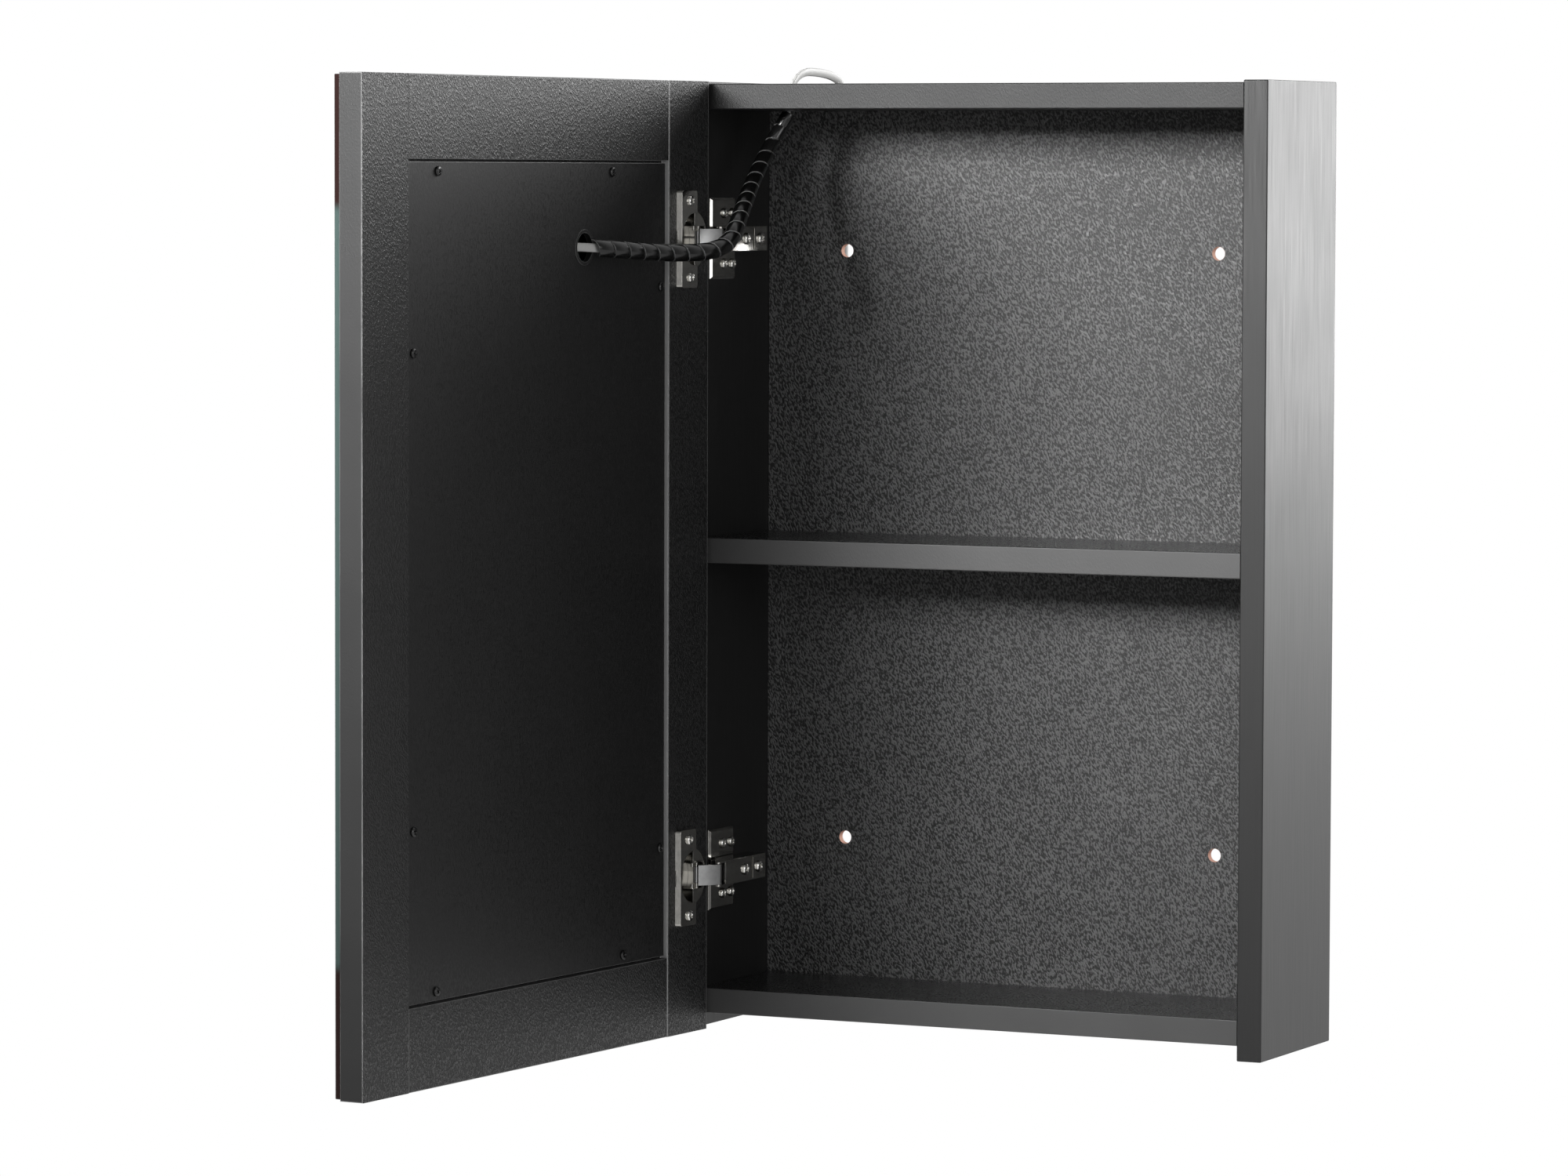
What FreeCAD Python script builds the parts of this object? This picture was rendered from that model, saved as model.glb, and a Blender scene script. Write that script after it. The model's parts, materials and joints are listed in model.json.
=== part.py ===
import FreeCAD, Part
import math
import os
from FreeCAD import Vector

os.makedirs("parts", exist_ok=True)

# Bathroom cabinet with a lit mirror door, the door standing open on two cup hinges.
# X runs to the right, Y back to the wall, Z up, in mm. Until a piece is saved, it is
# counted from the front lower corner of the left side.

# Carcass
cab_w = 400.0           # width over the sides
cab_h = 600.0           # height of the sides
cab_d = 118.0           # depth of the sides, front edge to wall
board = 16.0            # thickness of sides, top, shelf and bottom
inner_d = 102.0         # front edge to the back panel
back_t = 5.0            # back panel
top_drop = 1.5          # top board below the upper ends of the sides
foot_rise = 9.5         # bottom board above the lower ends of the sides
arris = 0.8             # rounding of the painted edges
seam = 0.4              # and of the edges along the door's joints and recess
back_play = 0.4         # back panel to each side
wall_dx = 256.0         # wall holes, side to side
wall_dz = 378.0         # wall holes, top to bottom
wall_hole_d = 8.5

# Fixings of the boards
fit = 0.02              # radial play of pins and dowels in their holes
end_play = 0.3          # room behind the end of a pin or screw
dowel_d = 8.0
dowel_l = 30.0
dowel_sink = 10.0       # length in the side
dowel_edge = 25.0       # from the front and rear edges of a board
cam_d = 15.0
cam_t = 12.0
cam_depth = 12.5        # pocket for the cam
cam_in = 24.0           # cam centre from the end of the board
bolt_d = 6.0            # cam bolt
bolt_sink = 11.0        # length in the side
back_screw_dx = 140.0   # spacing of the back panel screws
back_screw_d = 3.5
back_screw_l = 18.0
back_head_d = 7.0

# Door
frame_t = 16.0          # door frame, front to back
stile_w = 50.0          # width of stiles and rails on the inner face
ledge_w = 14.0          # ledge that carries the back plate
ledge_v = 4.6           # ledge below the inner face
plate_t = 3.0           # back plate
plate_gap = 1.5         # around the back plate
glass_t = 4.0
glass_in = 1.0          # glass edge inside the frame's edge
glass_arris = 0.5
door_dowel_d = 6.0
door_dowel_l = 30.0
plate_screw_d = 3.0
plate_screw_l = 9.0
plate_head_d = 6.0
plate_head_h = 1.8
plate_tops = (0.29, 0.79)       # screws along the top, as parts of the door's width
plate_feet = (0.255, 0.795)     # along the bottom
plate_hinge = (0.2, 0.786)      # up the hinge side, as parts of the door's height
plate_free = (0.257, 0.727)     # up the free side
outlet_u = 149.0        # lead's hole in the back plate, from the hinge edge
outlet_drop = 103.3     # and below the door's top
outlet_d = 19.6
outlet_bore = 18.0
outlet_lip = 22.0
lip_t = 0.5

# Light inside the door
strip_in = 70.0         # light strips from the door's edges
strip_w = 10.0
strip_t = 1.6
driver_l = 96.0
driver_w = 32.0
driver_t = 9.0
driver_off = 37.0       # driver's end from the lead's hole
sensor_d = 32.0
sensor_t = 2.4
sensor_z = 110.0

# How the door stands
closed_gap = 2.0        # carcass to the shut door
door_angle = 94.0       # opened by this angle
open_x = 24.5           # inner hinge corner of the open door
open_y = -3.5

# Cup hinges
hinge_in = 99.0         # from the ends of the door
cup_u = 22.5            # cup centre from the hinge edge
cup_d = 35.0
cup_depth = 11.5
cup_wall = 1.0
lug_u = 19.5            # lugs for the pins end here
lug_gap = 16.2          # between the lugs
rim_d = 37.0
rim_t = 1.0
flange_u = 20.0         # thick flange begins here
flange_w = 20.5
flange_h = 61.0
flange_t = 3.5
flange_slope = 1.4      # its free side leans in by this
cup_screw_u = 28.5
cup_screw_dz = 48.0
arm_rise = 18.0         # outer face of the arm above the side
arm_t = 1.2             # web of the arm
cheek_t = 1.0           # cheeks of the arm
arm_w = 15.5
arm_front = 4.0         # web from the front edge of the side
arm_end = 62.0
arm_foot = 4.0          # cheeks stand this far off the side
arm_screw_y = 32.0
arm_screw_dy = 20.0
arm_slot = 1.6
ridge_play = 0.3        # ridge of the mounting plate to the cheeks
mount_t = 2.5           # mounting plate
mount_h = 51.4
mount_front = 13.0
mount_rear = 48.0
mount_bevel = 1.4
mount_y = 37.0          # middle of the mounting screws
mount_dy = 12.0
mount_dz = 32.0
screw_d = 3.6           # wood screws of the hinges
screw_l = 13.0
head_d = 6.6
head_h = 1.8
arm_screw_d = 5.0
arm_screw_l = 12.0
arm_head_d = 7.6
arm_head_h = 2.0
pin_d = 2.2
pin_play = 0.05         # links on their pins
pin_hold = 1.6          # cup pins in the lugs
stub_play = 0.4         # ends of the outer cup pin to the inner link
eye_d = 4.4
link_t = 1.4
inner_u = 10.0          # cup pin of the inner link
outer_u = 15.5          # cup pin of the outer link
pin_v = 2.0             # cup pins below the door's inner face
inner_reach = 20.0      # arm pin from the middle of the cup pin's path
outer_reach = 16.0
inner_bow = 5.0         # bow of the inner link
outer_bow = 0.6
inner_half = 5.0        # half widths of the links
outer_half = 6.4
outer_cut = 0.82        # outer link ends short of its cup pin

# Lead and spiral wrap
lead_w = 5.4
lead_t = 2.6
gland_x = 60.8          # lead's hole in the top board
gland_y = 38.6
gland_d = 10.6
gland_bore = 8.2
gland_lip = 13.0
gland_lip_t = 1.0
gland_lean = 2.3        # lead comes up this far in front of the gland's axis
arch_rise = 11.0        # lead above the top board
tail_l = 158.0          # lead down behind the back panel
wrap_d = 10.9           # at the door
wrap_top_d = 9.2        # at the top board
wrap_t = 1.0
wrap_pitch = 10.8
wrap_band = 9.4
wrap_back = 8.0         # wrap begins this far before the lead's bend at the door
wrap_steps = 10         # sections in one turn

# Derived places: the door covers the whole front
door_w = cab_w
door_h = cab_h
left_in = board
right_in = cab_w - board
top_z = cab_h - top_drop
under_z = top_z - board
mid_z = (top_z + foot_rise) / 2
levels = (foot_rise + board / 2, mid_z, top_z - board / 2)
hinges = {"lower": hinge_in, "upper": door_h - hinge_in}
origin = Vector(cab_w / 2, inner_d + back_t, mid_z)
ledge_in = stile_w + ledge_w
outlet_z = door_h - outlet_drop
arm_top = board + arm_rise
pin_r = pin_d / 2
eye_r = eye_d / 2


# Shapes used again and again

def box(x0, x1, y0, y1, z0, z1):
    return Part.makeBox(x1 - x0, y1 - y0, z1 - z0, Vector(x0, y0, z0))


def rod(start, end, d):
    return Part.makeCylinder(d / 2, (end - start).Length, start, end - start)


def prism(points, z0, z1):
    corners = [Vector(p.x, p.y, z0) for p in points]
    face = Part.Face(Part.makePolygon(corners + corners[:1]))
    return face.extrude(Vector(0, 0, z1 - z0))


def ease(shape, radius, wanted):
    return shape.makeFillet(radius, [e for e in shape.Edges if wanted(e.CenterOfMass)])


def screw(seat, way, d, length, top_d, top_h):
    """Pan head standing on its seat, shank running along way."""
    head = rod(seat, seat - way * top_h, top_d)
    head = head.makeChamfer(top_h * 0.4, [head.Edges[0]])
    return head.fuse(rod(seat, seat + way * length, d))


def pilot(seat, way, d, length):
    return rod(seat, seat + way * (length + end_play), d + 2 * fit)


def stadium(centre, along, wide, width, thick):
    """Flat lead's outline, its width lying along wide."""
    side = along.cross(wide)
    side.normalize()
    half = (width - thick) / 2
    r = thick / 2
    a = centre + wide * half
    b = centre - wide * half
    edges = [Part.makeLine(b + side * r, a + side * r)]
    edges.append(Part.Arc(a + side * r, a + wide * r, a - side * r).toShape())
    edges.append(Part.makeLine(a - side * r, b - side * r))
    edges.append(Part.Arc(b - side * r, b - wide * r, b + side * r).toShape())
    return Part.Wire(edges)


def turned(p, angle):
    c = math.cos(math.radians(angle))
    s = math.sin(math.radians(angle))
    return Vector(c * p.x - s * p.y, s * p.x + c * p.y, p.z)


# The door is drawn shut: u from its hinge edge, v from its inner face to the glass

def door_box(u0, u1, v0, v1, z0, z1):
    return box(u0, u1, -v1, -v0, z0, z1)


def door_at(u, v, z):
    return Vector(u, -v, z)


def open_at(u, v, z):
    return turned(door_at(u, v, z), -door_angle) + Vector(open_x, open_y, 0)


def swing_open(shape):
    turn = FreeCAD.Rotation(Vector(0, 0, 1), -door_angle)
    place = FreeCAD.Placement(Vector(open_x, open_y, 0), turn)
    moved = shape.copy()
    moved.Placement = place.multiply(shape.Placement)
    return moved


def save(node, shape):
    out = shape.copy()
    out.translate(origin * -1)
    out.exportStep("parts/%s.step" % node)


# Board joints: two dowels and a cam with its bolt at each end of each board

def joint_x(side, inward):
    return left_in + inward if side == "left" else right_in - inward


def dowel(side, y, z, play, more):
    a = Vector(joint_x(side, -dowel_sink - more), y, z)
    b = Vector(joint_x(side, dowel_l - dowel_sink + more), y, z)
    return rod(a, b, dowel_d + 2 * play)


def dowels(side, z, play, more):
    return [dowel(side, y, z, play, more) for y in (dowel_edge, inner_d - dowel_edge)]


def cam_bolt(side, z, play, more):
    a = Vector(joint_x(side, -bolt_sink - more), inner_d / 2, z)
    b = Vector(joint_x(side, cam_in + more), inner_d / 2, z)
    return rod(a, b, bolt_d + 2 * play)


def cam_way(z):
    return Vector(0, 0, -1) if z > mid_z else Vector(0, 0, 1)


def cam_face(side, z):
    return Vector(joint_x(side, cam_in), inner_d / 2, z) - cam_way(z) * (board / 2)


def cam_pocket(side, z):
    face = cam_face(side, z)
    return rod(face, face + cam_way(z) * cam_depth, cam_d + 2 * fit)


def cam_disc(side, z):
    low = cam_face(side, z) + cam_way(z) * cam_depth
    disc = rod(low, low - cam_way(z) * cam_t, cam_d)
    return disc.cut(cam_bolt(side, z, fit, end_play))


def joint_cuts(side, z):
    return dowels(side, z, fit, end_play) + [cam_bolt(side, z, fit, end_play)]


# Carcass boards

def side_board(side):
    x0 = 0 if side == "left" else right_in
    panel = box(x0, x0 + board, 0, cab_d, 0, cab_h)
    panel = panel.makeFillet(arris, panel.Edges)
    cuts = []
    for z in levels:
        cuts += joint_cuts(side, z)
    if side == "left":
        cuts += mount_pilots()
    return panel.cut(cuts)


def cross_board(z):
    panel = box(left_in, right_in, 0, inner_d, z - board / 2, z + board / 2)
    panel = ease(panel, arris, lambda c: c.y < 0.001 and abs(c.z - z) > 1)
    cuts = [back_pilot(x, z) for x in back_screw_xs()]
    for side in ("left", "right"):
        cuts += joint_cuts(side, z)
        cuts.append(cam_pocket(side, z))
    return panel.cut(cuts)


def top_board():
    hole = rod(Vector(gland_x, gland_y, under_z), Vector(gland_x, gland_y, top_z), gland_d + 2 * fit)
    return cross_board(levels[2]).cut(hole)


def back_screw_xs():
    return [cab_w / 2 + k * back_screw_dx for k in (-1, 0, 1)]


def back_screw(x, z, play):
    rear = Vector(x, inner_d + back_t, z)
    way = Vector(0, -1, 0)
    head_l = (back_head_d - back_screw_d) / 2
    head = Part.makeCone(back_head_d / 2 + play, back_screw_d / 2 + play, head_l, rear, way)
    return head.fuse(rod(rear, rear + way * back_screw_l, back_screw_d + 2 * play))


def back_pilot(x, z):
    return pilot(Vector(x, inner_d + back_t, z), Vector(0, -1, 0), back_screw_d, back_screw_l)


def back_board():
    x0 = left_in + back_play
    x1 = right_in - back_play
    panel = box(x0, x1, inner_d, inner_d + back_t, foot_rise, top_z)
    cuts = [back_screw(x, z, fit) for x in back_screw_xs() for z in levels]
    for i in (-0.5, 0.5):
        for k in (-0.5, 0.5):
            front = Vector(cab_w / 2 + i * wall_dx, inner_d, mid_z + k * wall_dz)
            cuts.append(rod(front, front + Vector(0, back_t, 0), wall_hole_d))
    return panel.cut(cuts)


def gland():
    axis = Vector(gland_x, gland_y, under_z)
    up = Vector(0, 0, 1)
    body = rod(axis, axis + up * board, gland_d)
    lip = rod(axis - up * gland_lip_t, axis, gland_lip)
    lip = lip.makeChamfer(gland_lip_t * 0.4, [lip.Edges[2]])
    return body.fuse(lip).cut(rod(axis - up * gland_lip_t, axis + up * board, gland_bore))


# Door frame, plate and glass

def stile(side):
    ring = [door_at(0, 0, 0), door_at(stile_w, 0, 0), door_at(stile_w, ledge_v, 0)]
    ring += [door_at(ledge_in, ledge_v, 0), door_at(ledge_in, frame_t, 0), door_at(0, frame_t, 0)]
    post = ease(prism(ring, 0, door_h), arris, lambda c: c.x < 0.001)
    post = ease(post, seam, lambda c: abs(c.x - stile_w) < 0.001 and abs(c.y) < 0.001)
    if side == "free":
        post = post.mirror(Vector(door_w / 2, 0, 0), Vector(1, 0, 0))
    cuts = [door_dowel(side, z, fit) for z in door_dowel_zs()]
    cuts += plate_pilots(side)
    if side == "hinge":
        for z in hinges.values():
            cuts.append(cup_pocket(z))
            cuts += [pilot(p, Vector(0, -1, 0), screw_d, screw_l - flange_t) for p in cup_seats(z, 0)]
    return post.cut(cuts)


def rail(end):
    back = door_box(stile_w, door_w - stile_w, 0, ledge_v, 0, stile_w)
    front = door_box(ledge_in, door_w - ledge_in, ledge_v, frame_t, 0, ledge_in)
    bar = back.fuse(front).removeSplitter()
    bar = ease(bar, arris, lambda c: c.z < 0.001 and (c.y > -0.001 or c.y < 0.001 - frame_t))
    bar = ease(bar, seam, lambda c: abs(c.y) < 0.001 and c.z > arris)
    if end == "top":
        bar = bar.mirror(Vector(0, 0, door_h / 2), Vector(0, 0, 1))
    cuts = [door_dowel(side, z, fit) for side in ("hinge", "free") for z in door_dowel_zs()]
    return bar.cut(cuts + plate_pilots(end))


def door_dowel_zs():
    near = [ledge_in * 0.25, ledge_in * 0.75]
    return near + [door_h - z for z in near]


def door_dowel(side, z, play):
    u = ledge_in if side == "hinge" else door_w - ledge_in
    half = door_dowel_l / 2 + (end_play if play else 0)
    v = (ledge_v + frame_t) / 2
    return rod(door_at(u - half, v, z), door_at(u + half, v, z), door_dowel_d + 2 * play)


def plate_screw_seats(where):
    mid = stile_w + ledge_w / 2
    if where == "top":
        spots = [(k * door_w, door_h - mid) for k in plate_tops]
    elif where == "bottom":
        spots = [(k * door_w, mid) for k in plate_feet]
    elif where == "hinge":
        spots = [(mid, k * door_h) for k in plate_hinge]
    else:
        spots = [(door_w - mid, k * door_h) for k in plate_free]
    return [door_at(u, ledge_v - plate_t, z) for u, z in spots]


def plate_pilots(where):
    way = Vector(0, -1, 0)
    return [pilot(p, way, plate_screw_d, plate_screw_l) for p in plate_screw_seats(where)]


def all_plate_seats():
    return [p for where in ("top", "bottom", "hinge", "free") for p in plate_screw_seats(where)]


def back_plate():
    near = stile_w + plate_gap
    face = ledge_v - plate_t
    plate = door_box(near, door_w - near, face, ledge_v, near, door_h - near)
    plate = ease(plate, seam, lambda c: abs(c.y + face) < 0.001)
    way = Vector(0, -1, 0)
    cuts = [pilot(p, way, plate_screw_d, plate_t) for p in all_plate_seats()]
    hole = rod(door_at(outlet_u, 0, outlet_z), door_at(outlet_u, ledge_v, outlet_z), outlet_d + 2 * fit)
    return plate.cut(cuts + [hole])


def outlet_ring():
    face = ledge_v - plate_t
    body = rod(door_at(outlet_u, face, outlet_z), door_at(outlet_u, ledge_v, outlet_z), outlet_d)
    lip = rod(door_at(outlet_u, face, outlet_z), door_at(outlet_u, face - lip_t, outlet_z), outlet_lip)
    lip = lip.makeChamfer(lip_t * 0.4, [lip.Edges[0]])
    bore = rod(door_at(outlet_u, face - lip_t, outlet_z), door_at(outlet_u, ledge_v, outlet_z), outlet_bore)
    return body.fuse(lip).cut(bore)


def mirror_glass():
    far_u = door_w - glass_in
    far_z = door_h - glass_in
    pane = door_box(glass_in, far_u, frame_t, frame_t + glass_t, glass_in, far_z)
    return pane.makeChamfer(glass_arris, pane.Edges)


def light_strips():
    far_u = door_w - strip_in
    far_z = door_h - strip_in
    v1 = ledge_v + strip_t
    inner = strip_in + strip_w + end_play
    strips = []
    for u in (strip_in, far_u - strip_w):
        strips.append(door_box(u, u + strip_w, ledge_v, v1, strip_in, far_z))
    for z in (strip_in, far_z - strip_w):
        strips.append(door_box(inner, door_w - inner, ledge_v, v1, z, z + strip_w))
    return Part.makeCompound(strips)


def driver():
    u0 = outlet_u + driver_off
    z0 = outlet_z - driver_w / 2
    return door_box(u0, u0 + driver_l, ledge_v, ledge_v + driver_t, z0, z0 + driver_w)


def touch_sensor():
    back = door_at(door_w / 2, frame_t - sensor_t, sensor_z)
    return rod(back, door_at(door_w / 2, frame_t, sensor_z), sensor_d)


# Cup hinges. Each link turns on an arm pin that lies as far from its shut cup pin as
# from its open one; a reach sets where along the line between them.

def arm_pin(u, reach):
    shut = door_at(u, pin_v, 0) - Vector(0, closed_gap, 0)
    opened = open_at(u, pin_v, 0)
    step = opened - shut
    across = Vector(-step.y, step.x, 0)
    across.normalize()
    return (shut + opened) * 0.5 + across * reach


def link_turn(u, reach):
    pin = arm_pin(u, reach)
    shut = door_at(u, pin_v, 0) - Vector(0, closed_gap, 0) - pin
    opened = open_at(u, pin_v, 0) - pin
    return math.degrees(math.atan2(opened.y, opened.x) - math.atan2(shut.y, shut.x)) % 360


inner_pin = arm_pin(inner_u, inner_reach)
outer_pin = arm_pin(outer_u, outer_reach)


def cup_pocket(z):
    return rod(door_at(cup_u, 0, z), door_at(cup_u, cup_depth + end_play, z), cup_d + 2 * fit)


def cup_pin(u, z, play):
    half = lug_gap / 2 + pin_hold + (end_play if play else 0)
    return rod(door_at(u, pin_v, z - half), door_at(u, pin_v, z + half), pin_d + 2 * play)


def cup_stubs(z):
    """Outer link's cup pin, in two ends that let the inner link pass between them."""
    gap = inner_half + stub_play
    middle = door_at(outer_u, pin_v, z)
    between = rod(middle - Vector(0, 0, gap), middle + Vector(0, 0, gap), eye_d)
    return cup_pin(outer_u, z, 0).cut(between)


def hinge_cup(z):
    centre = door_at(cup_u, 0, z)
    inward = Vector(0, -1, 0)
    body = rod(centre, centre + inward * cup_depth, cup_d)
    rim = rod(centre - inward * rim_t, centre, rim_d)
    foot_u = flange_u + flange_w
    rows = [(flange_u, 0), (foot_u, 0), (foot_u - flange_slope, -flange_t), (flange_u, -flange_t)]
    wings = prism([door_at(u, v, z) for u, v in rows], z - flange_h / 2, z + flange_h / 2)
    wings = ease(wings, 2.0, lambda c: abs(c.y - flange_t / 2) < 0.001)
    bowl_d = cup_d - 2 * cup_wall
    wings = wings.cut(rod(centre - inward * flange_t, centre, bowl_d))
    bowl = rod(centre - inward * rim_t, centre + inward * (cup_depth - cup_wall), bowl_d)
    for way in (-1, 1):
        near = z + way * lug_gap / 2
        far = z + way * cup_d / 2
        bowl = bowl.cut(door_box(0, lug_u, -rim_t, cup_depth, min(near, far), max(near, far)))
    cuts = [bowl, cup_pin(inner_u, z, fit), cup_pin(outer_u, z, fit)]
    cuts += [pilot(p, inward, screw_d, flange_t) for p in cup_seats(z, flange_t)]
    return body.fuse([rim, wings]).cut(cuts)


def cup_seats(z, height):
    return [door_at(cup_screw_u, -height, z + k * cup_screw_dz) for k in (-0.5, 0.5)]


def mount_seats(z):
    x = board + mount_t
    rows = [(mount_y + i * mount_dy, z + k * mount_dz) for i in (-0.5, 0.5) for k in (-0.5, 0.5)]
    return [Vector(x, y, height) for y, height in rows]


def mount_pilots():
    way = Vector(-1, 0, 0)
    return [pilot(p, way, screw_d, screw_l) for z in hinges.values() for p in mount_seats(z)]


def arm_seats(z):
    return [Vector(arm_top, arm_screw_y + k * arm_screw_dy, z) for k in (0, 1)]


def arm_pilots(z):
    return [pilot(p, Vector(-1, 0, 0), arm_screw_d, arm_screw_l) for p in arm_seats(z)]


def mounting_plate(z):
    face = board + mount_t
    wing = box(board, face, mount_front, mount_rear, z - mount_h / 2, z + mount_h / 2)
    wing = wing.makeChamfer(mount_bevel, [e for e in wing.Edges if e.CenterOfMass.x > face - 0.001])
    half = arm_w / 2 - cheek_t - ridge_play
    ridge = box(board, arm_top - arm_t, mount_front + 2, arm_end - 2, z - half, z + half)
    cuts = [pilot(p, Vector(-1, 0, 0), screw_d, mount_t) for p in mount_seats(z)]
    return wing.fuse(ridge).cut(cuts + arm_pilots(z))


def arm_outline():
    foot = board + arm_foot
    ring = [Vector(foot, mount_front + 2, 0), Vector(foot, arm_end, 0)]
    ring += [Vector(arm_top, arm_end, 0), Vector(arm_top, arm_front, 0)]
    ring.append(outer_pin + Vector(0.8 * eye_r, 0.6 * eye_r, 0))
    ring.append(outer_pin - Vector(0.6 * eye_r, 0.8 * eye_r, 0))
    ring.append(inner_pin - Vector(1.2 * eye_r, 0.5 * eye_r, 0))
    ring.append(inner_pin - Vector(1.2 * eye_r, -eye_r, 0))
    return ring


def link_pin(pin, z, play):
    half = Vector(0, 0, arm_w / 2)
    middle = pin + Vector(0, 0, z)
    return rod(middle - half, middle + half, pin_d + 2 * play)


def hinge_arm(z):
    half = arm_w / 2
    inner = half - cheek_t
    up = Vector(0, 0, 1)
    arm = prism(arm_outline(), z - half, z + half)
    arm = arm.fuse(rod(outer_pin + up * (z - half), outer_pin + up * (z + half), eye_d))
    cuts = [box(0, arm_top - arm_t, arm_front, arm_end, z - inner, z + inner)]
    cuts.append(box(0, 2 * arm_top, -arm_top, arm_front, z - inner, z + inner))
    slot_y = arm_screw_y + arm_screw_dy / 2
    cuts.append(box(board, arm_top, slot_y, slot_y + arm_slot, z - inner, z + inner))
    cuts += [link_pin(inner_pin, z, fit), link_pin(outer_pin, z, fit)]
    return arm.cut(cuts + arm_pilots(z))


def bowed_bar(start, end, bow, part, z0, z1):
    """Plate of link_t that bows to the left of its way, kept for a part of its length."""
    step = end - start
    left = Vector(-step.y, step.x, 0)
    left.normalize()
    half = step.Length / 2
    radius = (half * half + bow * bow) / (2 * bow)
    centre = (start + end) * 0.5 - left * (radius - bow)
    whole = 2 * math.degrees(math.asin(half / radius))
    spots = []
    for r in (radius + link_t / 2, radius - link_t / 2):
        for k in (0, part / 2, part):
            spots.append(centre + turned((start - centre) * (r / radius), -whole * k))
    edges = [Part.Arc(*spots[:3]).toShape(), Part.makeLine(spots[2], spots[5])]
    edges += [Part.Arc(spots[5], spots[4], spots[3]).toShape(), Part.makeLine(spots[3], spots[0])]
    face = Part.Face(Part.Wire(edges))
    face.translate(Vector(0, 0, z0))
    return face.extrude(Vector(0, 0, z1 - z0))


def eye(pin, z, half, d):
    up = Vector(0, 0, 1)
    return rod(pin + up * (z - half), pin + up * (z + half), d)


def inner_link(z):
    far = open_at(inner_u, pin_v, 0)
    bar = bowed_bar(inner_pin, far, inner_bow, 1.0, z - inner_half, z + inner_half)
    bar = bar.fuse([eye(p, z, inner_half, eye_d) for p in (inner_pin, far)])
    return bar.cut([eye(p, z, inner_half, pin_d + 2 * pin_play) for p in (inner_pin, far)])


def outer_link(z):
    far = open_at(outer_u, pin_v, 0)
    way = (far - outer_pin).normalize()
    rise = Vector(-way.y, way.x, 0) * (eye_r - link_t / 2)
    bar = bowed_bar(outer_pin + rise, far + rise, outer_bow, outer_cut, z - outer_half, z + outer_half)
    bar = bar.fuse(eye(outer_pin, z, outer_half, eye_d))
    return bar.cut(eye(outer_pin, z, outer_half, pin_d + 2 * pin_play))


# Lead: straight runs joined by tangent arcs

def lead_path(points, name):
    edges = []
    radii = []
    at = points[0]
    for a, b, c in zip(points, points[1:], points[2:]):
        d1 = (b - a).normalize()
        d2 = (c - b).normalize()
        turn = d1.getAngle(d2)
        cut = 0.45 * min((b - a).Length, (c - b).Length)
        radius = cut / math.tan(turn / 2)
        begin = b - d1 * cut
        end = b + d2 * cut
        inward = (d2 - d1).normalize()
        middle = b + inward * (radius / math.cos(turn / 2) - radius)
        edges.append(Part.makeLine(at, begin))
        edges.append(Part.Arc(begin, middle, end).toShape())
        radii.append(round(radius, 1))
        at = end
    edges.append(Part.makeLine(at, points[-1]))
    print(name, "radii", radii)
    return Part.Wire(edges)


def flat_lead(points, wide, name):
    path = lead_path(points, name)
    along = (points[1] - points[0]).normalize()
    ring = stadium(points[0], along, wide, lead_w, lead_t)
    body = path.makePipeShell([ring], True, False)
    ideal = path.Length * Part.Face(ring).Area
    print(name, "length", round(path.Length, 1), "volume part", round(body.Volume / ideal, 4))
    return body


def door_route():
    """From the driver through the back plate, out over the hinge and up to the top board."""
    points = [open_at(outlet_u + driver_off, ledge_v + 5.9, outlet_z + 1.5)]
    points.append(open_at(outlet_u + 14, ledge_v + 6.6, outlet_z + 0.7))
    points.append(open_at(outlet_u - 12.5, -7, outlet_z - 0.5))
    points.append(open_at(outlet_u - 57, -24, outlet_z - 4.1))
    points.append(open_at(outlet_u - 95.4, -43.9, outlet_z - 2.7))
    points.append(Vector(gland_x + 1.2, -33, under_z - 68))
    points.append(Vector(gland_x - 4.3, 0, under_z - 45))
    points.append(Vector(gland_x - 5.8, gland_y - gland_lean - 7.6, under_z - 21.5))
    points.append(Vector(gland_x, gland_y - gland_lean, under_z - 3.7))
    return points


def supply_route():
    """From inside the gland over the top board and down behind the back panel."""
    rear = (inner_d + back_t + cab_d) / 2
    points = [Vector(gland_x, gland_y - gland_lean, under_z - 2.2)]
    points.append(Vector(gland_x + 0.4, gland_y + 4, top_z + arch_rise))
    points.append(Vector(gland_x + 4, inner_d - 5, top_z + arch_rise - 1))
    points.append(Vector(gland_x + 4.4, rear + 0.8, top_z - 2))
    points.append(Vector(gland_x + 5, rear - 0.3, top_z - tail_l / 3))
    points.append(Vector(gland_x + 4.2, rear + 0.3, top_z - tail_l * 2 / 3))
    points.append(Vector(gland_x + 4.8, rear - 0.2, top_z - tail_l))
    return points


# Spiral wrap: one band wound round the lead, its edges a pitch apart along the route

def frames(points, count):
    """Spots along the route from the wrap's start, with two cross directions that do not twist."""
    path = lead_path(points, "wrap route")
    spots = path.discretize(Number=count)
    bend = min(range(count), key=lambda i: (spots[i] - points[2]).Length)
    spots = spots[bend - round(wrap_back * (count - 1) / path.Length):]
    ways = [(b - a).normalize() for a, b in zip(spots, spots[1:])]
    ways.append(ways[-1])
    side = ways[0].cross(Vector(0, 0, 1)).normalize()
    out = []
    for spot, way in zip(spots, ways):
        side = (side - way * side.dot(way)).normalize()
        out.append((spot, Vector(side), way.cross(side)))
    return out


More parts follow.
